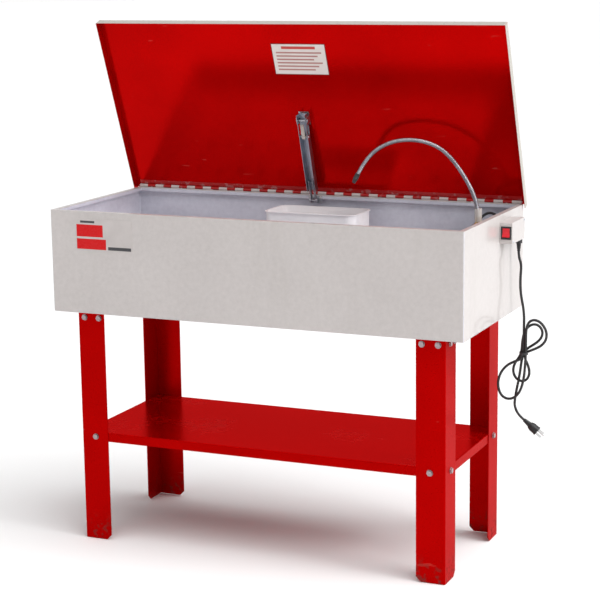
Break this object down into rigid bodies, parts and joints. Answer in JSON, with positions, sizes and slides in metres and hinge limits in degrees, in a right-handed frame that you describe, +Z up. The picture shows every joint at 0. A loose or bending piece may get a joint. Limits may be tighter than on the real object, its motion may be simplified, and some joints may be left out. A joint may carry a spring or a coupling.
{
  "type": "parts washer tank",
  "caption": "Sheet steel parts washer on angle legs with a storage shelf, hinged lid on a slotted stay, submerged pump with gooseneck spout, parts tray, and switch box with mains lead.",
  "frame": {"origin": "on the floor, under the middle of the washer's footprint with the lid open, mains lead left out", "axes": "+Z up, -Y towards the person using it, +X to their right, where the switch box is"},
  "size_m": [1.294, 0.5122, 1.4259],
  "materials": {
    "tank_grey": "baked enamel, warm light grey, satin",
    "lid_red": "gloss red enamel inside, light grey enamel on the outer faces",
    "frame_red": "gloss red enamel",
    "zinc": "bright zinc plate",
    "shelf_grey": "grey enamel",
    "tray_zinc": "brushed, galvanised",
    "solder": "dull soft metal",
    "brass": "machined",
    "spout_metal": "polished flexible tube",
    "black_plastic": "moulded",
    "pump_black": "moulded, solvent proof",
    "impeller_white": "moulded nylon",
    "motor_steel": "laminations and windings potted in resin",
    "clear_vinyl": "clear vinyl tube",
    "rocker_red": "moulded",
    "rubber_black": "matt",
    "label_grey": "plain printed plate"
  },
  "bodies": {
    "stand": {"tank_shell": "tank_grey", "leg_front_left": "frame_red", "leg_front_right": "frame_red", "leg_rear_left": "frame_red", "leg_rear_right": "frame_red", "leg_brackets": "tank_grey", "hex_bolts": "zinc", "hex_nuts": "zinc", "storage_shelf": "frame_red", "hinge_leaf_tank": "tank_grey", "tank_rivets": "zinc", "hinge_pin": "zinc", "stay_foot_bracket": "zinc", "stay_foot_pin": "zinc", "work_shelf_ledges": "shelf_grey", "work_shelf": "shelf_grey", "drain_socket": "brass", "drain_gasket": "rubber_black", "pump_base": "pump_black", "pump_housing": "pump_black", "pump_cap": "pump_black", "small_screws": "zinc", "pump_motor_stator": "motor_steel", "pump_hose": "clear_vinyl", "hose_clamps": "zinc", "pump_lead": "rubber_black", "wall_grommet": "rubber_black", "spout_bracket": "shelf_grey", "spout_manifold": "brass", "switch_box": "tank_grey", "switch_cover": "tank_grey", "rocker_bezel": "black_plastic", "cord_gland": "black_plastic", "cord_strain_relief": "rubber_black", "badge_plate": "label_grey", "mains_cord": "rubber_black", "mains_cord_hank": "rubber_black", "cord_tie": "black_plastic", "mains_cord_tail": "rubber_black", "mains_plug": "rubber_black", "plug_prongs": "zinc"},
    "lid": {"lid_panel": "lid_red", "hinge_leaf_lid": "lid_red", "lid_rivets": "zinc", "stay_lid_bracket": "zinc", "stay_lid_pin": "zinc", "label_plate": "label_grey"},
    "stay_arm": {"stay_channel": "zinc", "stay_link": "zinc", "stay_rivets": "zinc", "fusible_link": "solder"},
    "spout": {"spout_swivel": "brass", "spout_sleeve": "clear_vinyl", "spout_gooseneck": "spout_metal", "spout_nozzle": "black_plastic"},
    "rocker": {"rocker_button": "rocker_red"},
    "impeller": {"pump_impeller": "impeller_white", "pump_rotor_shaft": "motor_steel"},
    "tray": {"parts_tray": "tray_zinc"},
    "plug": {"drain_plug": "brass"}
  },
  "joints": [
    {"name": "lid_hinge", "type": "hinge", "parent": "stand", "child": "lid", "pos_m": [-0.014, 0.24701, 0.935], "axis": [1, 0, 0], "range_deg": [0, 69.5]},
    {"name": "stay_pivot", "type": "hinge", "parent": "stand", "child": "stay_arm", "pos_m": [-0.03, 0.22301, 0.917], "axis": [1, 0, 0], "range_deg": [0, 71.2]},
    {"name": "spout_tilt", "type": "hinge", "parent": "stand", "child": "spout", "pos_m": [0.489, 0.12201, 0.88], "axis": [1, 0, 0], "range_deg": [0, 90.5]},
    {"name": "rocker_tilt", "type": "hinge", "parent": "stand", "child": "rocker", "pos_m": [0.594, 0.03601, 0.884], "axis": [1, 0, 0], "range_deg": [0, 18]},
    {"name": "impeller_spin", "type": "hinge", "parent": "stand", "child": "impeller", "pos_m": [0.466, 0.12201, 0.66], "axis": [0, 0, 1], "continuous": true},
    {"name": "tray_slide", "type": "slide", "parent": "stand", "child": "tray", "axis": [-1, 0, 0], "range_m": [0, 0.4]},
    {"name": "drain_plug_out", "type": "slide", "parent": "stand", "child": "plug", "axis": [0, 0, -1], "range_m": [0, 0.03]}
  ],
  "couplings": [
    {"joint": "stay_pivot", "follows": "lid_hinge", "ratio": 1.0215},
    {"joint": "spout_tilt", "follows": "lid_hinge", "ratio": 1.295}
  ]
}
